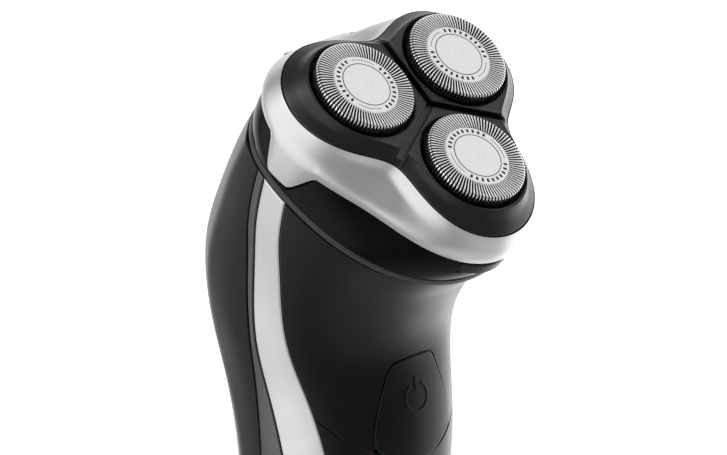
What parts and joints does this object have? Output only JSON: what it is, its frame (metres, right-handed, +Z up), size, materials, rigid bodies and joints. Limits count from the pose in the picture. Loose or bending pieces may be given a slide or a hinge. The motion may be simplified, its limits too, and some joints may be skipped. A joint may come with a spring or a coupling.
{
  "type": "rotary electric shaver",
  "caption": "Cordless rotary shaver: tilted swing-open head with floating round cutters on a curved grip with a power button, silver side trims and a pop-up trimmer.",
  "frame": {"origin": "centre of the flat bottom of the handle", "axes": "+Z up along the handle, -Y towards the front (power button), +X to the right seen from the front"},
  "size_m": [0.0646, 0.0798, 0.1545],
  "materials": {
    "satin_black": "fine satin moulded texture",
    "gloss_black": "polished",
    "satin_silver": "metallic lacquer, satin",
    "rim_grey": "semi-gloss",
    "cap_steel": "fine turned and polished",
    "blade_steel": "ground",
    "white_nylon": "natural moulded",
    "grey_plastic": "moulded",
    "board_green": "solder-mask",
    "cell_wrap": "shrink-wrapped cell",
    "motor_can": "zinc-plated can",
    "brass": "bright"
  },
  "bodies": {
    "handle": {"front_panel": "satin_black", "lower_panel": "satin_black", "side_trim_left": "satin_silver", "side_trim_right": "satin_silver", "side_insert_left": "gloss_black", "side_insert_right": "gloss_black", "back_shell": "satin_black", "base_cap": "satin_black", "charging_socket": "grey_plastic", "contact_pin_left": "brass", "contact_pin_right": "brass", "chassis": "grey_plastic", "battery": "cell_wrap", "circuit_board": "board_green", "power_switch": "grey_plastic", "motor": "motor_can", "gear_plate": "grey_plastic", "gear_plate_screw_1": "blade_steel", "gear_plate_screw_2": "blade_steel", "gear_plate_screw_3": "blade_steel", "collar": "gloss_black", "collar_rim": "rim_grey", "unit_hinge_pin": "blade_steel"},
    "power_key": {"power_button": "satin_black"},
    "release_key": {"release_button": "satin_black"},
    "pinion": {"motor_pinion": "brass"},
    "drive_1": {"drive_gear_1": "white_nylon", "drive_spindle_1": "white_nylon"},
    "drive_2": {"drive_gear_2": "white_nylon", "drive_spindle_2": "white_nylon"},
    "drive_3": {"drive_gear_3": "white_nylon", "drive_spindle_3": "white_nylon"},
    "shaving_unit": {"bezel": "satin_silver", "head_holder": "satin_black", "retaining_frame": "grey_plastic"},
    "lock": {"lock_knob": "white_nylon"},
    "cap_1": {"shaving_cap_1": "cap_steel", "cap_disc_1": "cap_steel"},
    "cap_2": {"shaving_cap_2": "cap_steel", "cap_disc_2": "cap_steel"},
    "cap_3": {"shaving_cap_3": "cap_steel", "cap_disc_3": "cap_steel"},
    "cutter_wheel_1": {"cutter_1": "blade_steel"},
    "cutter_wheel_2": {"cutter_2": "blade_steel"},
    "cutter_wheel_3": {"cutter_3": "blade_steel"},
    "trimmer": {"trimmer_housing": "satin_black", "trimmer_pin": "blade_steel", "trimmer_comb": "blade_steel"},
    "trimmer_knife": {"trimmer_blade": "blade_steel"},
    "slider": {"trimmer_slider": "grey_plastic"}
  },
  "joints": [
    {"name": "power_press", "type": "slide", "parent": "handle", "child": "power_key", "axis": [0, 1, 0], "range_m": [0, 0.0008], "stiffness_N_per_m": 500},
    {"name": "release_press", "type": "slide", "parent": "handle", "child": "release_key", "axis": [0, 0.7986, 0.6018], "range_m": [0, 0.001], "stiffness_N_per_m": 500},
    {"name": "pinion_spin", "type": "hinge", "parent": "handle", "child": "pinion", "pos_m": [0, -0.027, 0.143], "axis": [0, -0.6018, 0.7986], "continuous": true},
    {"name": "drive_1_spin", "type": "hinge", "parent": "handle", "child": "drive_1", "pos_m": [0, -0.03959, 0.13351], "axis": [0, -0.6018, 0.7986], "continuous": true},
    {"name": "drive_2_spin", "type": "hinge", "parent": "handle", "child": "drive_2", "pos_m": [0.01365, -0.02071, 0.14774], "axis": [0, -0.6018, 0.7986], "continuous": true},
    {"name": "drive_3_spin", "type": "hinge", "parent": "handle", "child": "drive_3", "pos_m": [-0.01365, -0.02071, 0.14774], "axis": [0, -0.6018, 0.7986], "continuous": true},
    {"name": "unit_open", "type": "hinge", "parent": "handle", "child": "shaving_unit", "pos_m": [0, 0.00663, 0.14556], "axis": [-1, 0, 0], "range_deg": [0, 95]},
    {"name": "lock_turn", "type": "hinge", "parent": "shaving_unit", "child": "lock", "pos_m": [0, -0.027, 0.143], "axis": [0, -0.6018, 0.7986], "range_deg": [0, 90]},
    {"name": "cap_1_float", "type": "slide", "parent": "shaving_unit", "child": "cap_1", "axis": [0, -0.6018, 0.7986], "range_m": [-0.0015, 0], "stiffness_N_per_m": 300},
    {"name": "cap_2_float", "type": "slide", "parent": "shaving_unit", "child": "cap_2", "axis": [0, -0.6018, 0.7986], "range_m": [-0.0015, 0], "stiffness_N_per_m": 300},
    {"name": "cap_3_float", "type": "slide", "parent": "shaving_unit", "child": "cap_3", "axis": [0, -0.6018, 0.7986], "range_m": [-0.0015, 0], "stiffness_N_per_m": 300},
    {"name": "cutter_1_spin", "type": "hinge", "parent": "cap_1", "child": "cutter_wheel_1", "pos_m": [0, -0.03959, 0.13351], "axis": [0, -0.6018, 0.7986], "continuous": true},
    {"name": "cutter_2_spin", "type": "hinge", "parent": "cap_2", "child": "cutter_wheel_2", "pos_m": [0.01365, -0.02071, 0.14774], "axis": [0, -0.6018, 0.7986], "continuous": true},
    {"name": "cutter_3_spin", "type": "hinge", "parent": "cap_3", "child": "cutter_wheel_3", "pos_m": [-0.01365, -0.02071, 0.14774], "axis": [0, -0.6018, 0.7986], "continuous": true},
    {"name": "trimmer_open", "type": "hinge", "parent": "handle", "child": "trimmer", "pos_m": [0, 0.0239, 0.107], "axis": [-1, 0, 0], "range_deg": [0, 65]},
    {"name": "trimmer_knife_stroke", "type": "slide", "parent": "trimmer", "child": "trimmer_knife", "axis": [1, 0, 0], "range_m": [-0.0012, 0.0012]},
    {"name": "trimmer_slide", "type": "slide", "parent": "handle", "child": "slider", "axis": [0, -0.139, -0.9903], "range_m": [0, 0.004], "stiffness_N_per_m": 60}
  ],
  "couplings": [
    {"joint": "pinion_spin", "follows": "drive_1_spin", "ratio": -1.5},
    {"joint": "drive_2_spin", "follows": "drive_1_spin", "ratio": 1},
    {"joint": "drive_3_spin", "follows": "drive_1_spin", "ratio": 1},
    {"joint": "cutter_1_spin", "follows": "drive_1_spin", "ratio": 1},
    {"joint": "cutter_2_spin", "follows": "drive_1_spin", "ratio": 1},
    {"joint": "cutter_3_spin", "follows": "drive_1_spin", "ratio": 1}
  ]
}
